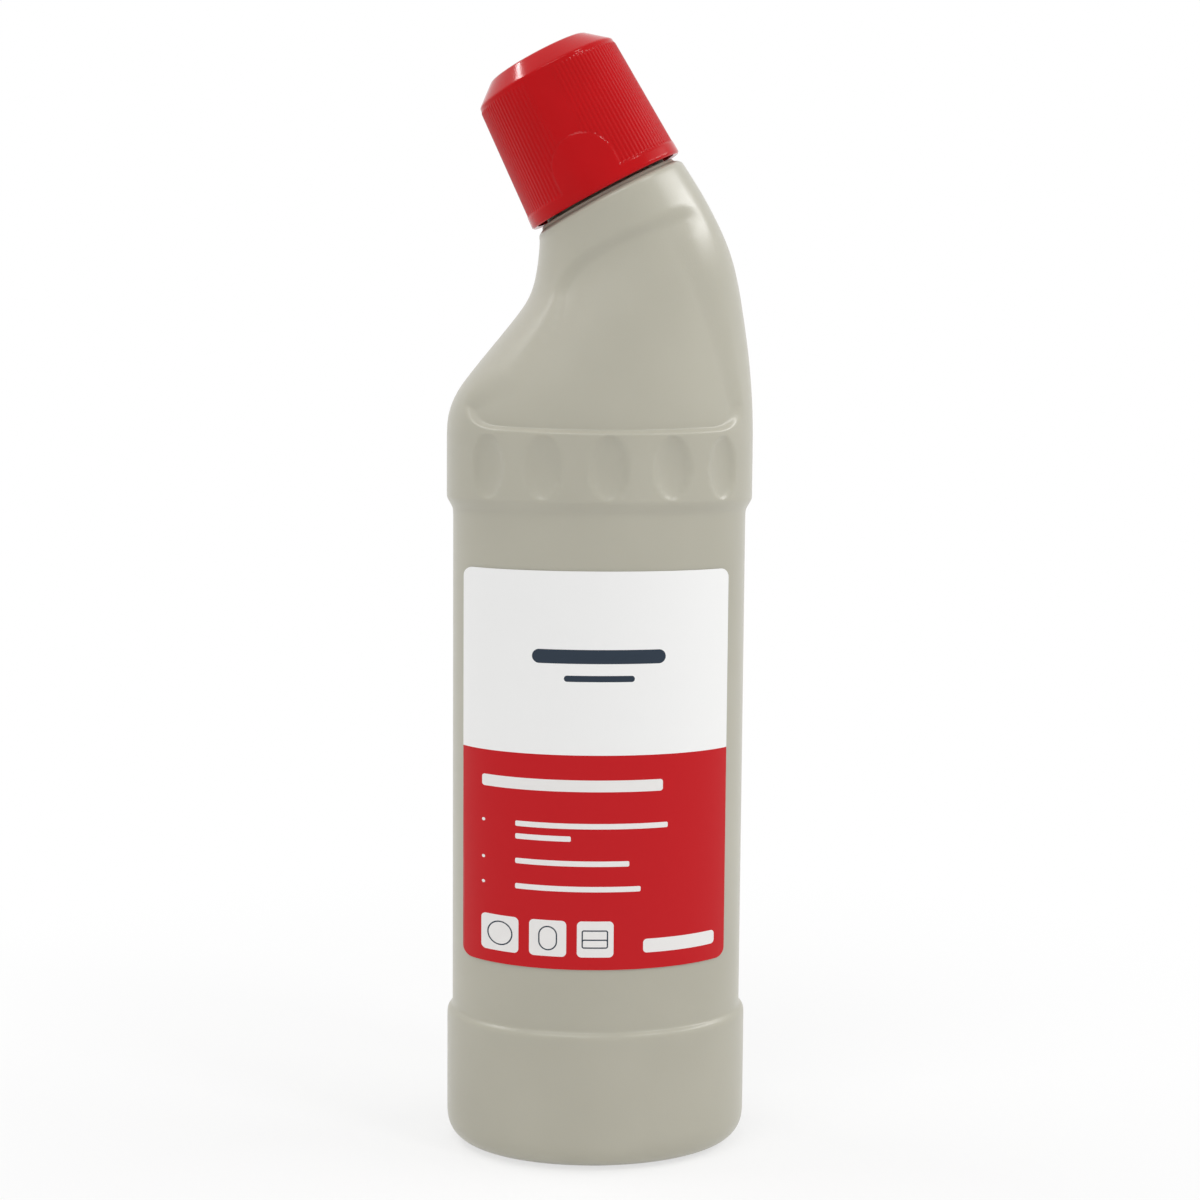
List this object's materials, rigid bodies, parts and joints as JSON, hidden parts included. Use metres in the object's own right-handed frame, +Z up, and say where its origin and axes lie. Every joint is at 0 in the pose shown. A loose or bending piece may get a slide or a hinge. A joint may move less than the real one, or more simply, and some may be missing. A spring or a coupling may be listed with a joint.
{
  "type": "toilet cleaner bottle",
  "caption": "Tall oval squeeze bottle with a bent neck, a red squeeze-and-turn cap on a real screw thread, a jet spout insert and a plain two-colour front label.",
  "frame": {"origin": "bottom centre of the foot, on the surface that the bottle stands on", "axes": "+Z up, -Y out of the labelled front, +X to the right seen from the front; the neck leans to -X"},
  "size_m": [0.081, 0.0626, 0.2936],
  "materials": {
    "bottle_plastic": "satin grey-beige blow-moulded polyethylene",
    "cap_plastic": "glossy red moulded polypropylene",
    "insert_plastic": "milky soft polyethylene",
    "disc_foam": "matt white foam liner",
    "label_film": "printed film, white above and red below",
    "cleaner_liquid": "thick blue liquid"
  },
  "bodies": {
    "bottle": {"bottle": "bottle_plastic", "spout_insert": "insert_plastic", "front_label": "label_film", "cleaner_liquid": "cleaner_liquid"},
    "liner": {"sealing_disc": "disc_foam"},
    "cap": {"cap": "cap_plastic"}
  },
  "joints": [
    {"name": "cap_rise", "type": "slide", "parent": "bottle", "child": "liner", "axis": [-0.4695, 0, 0.8829], "range_m": [0, 0.00631]},
    {"name": "cap_turn", "type": "hinge", "parent": "liner", "child": "cap", "pos_m": [0.00245, 0, 0.2506], "axis": [-0.4695, 0, 0.8829], "range_deg": [0, 540]}
  ],
  "couplings": [
    {"joint": "cap_rise", "follows": "cap_turn", "m_per_rad": 0.00066845}
  ]
}
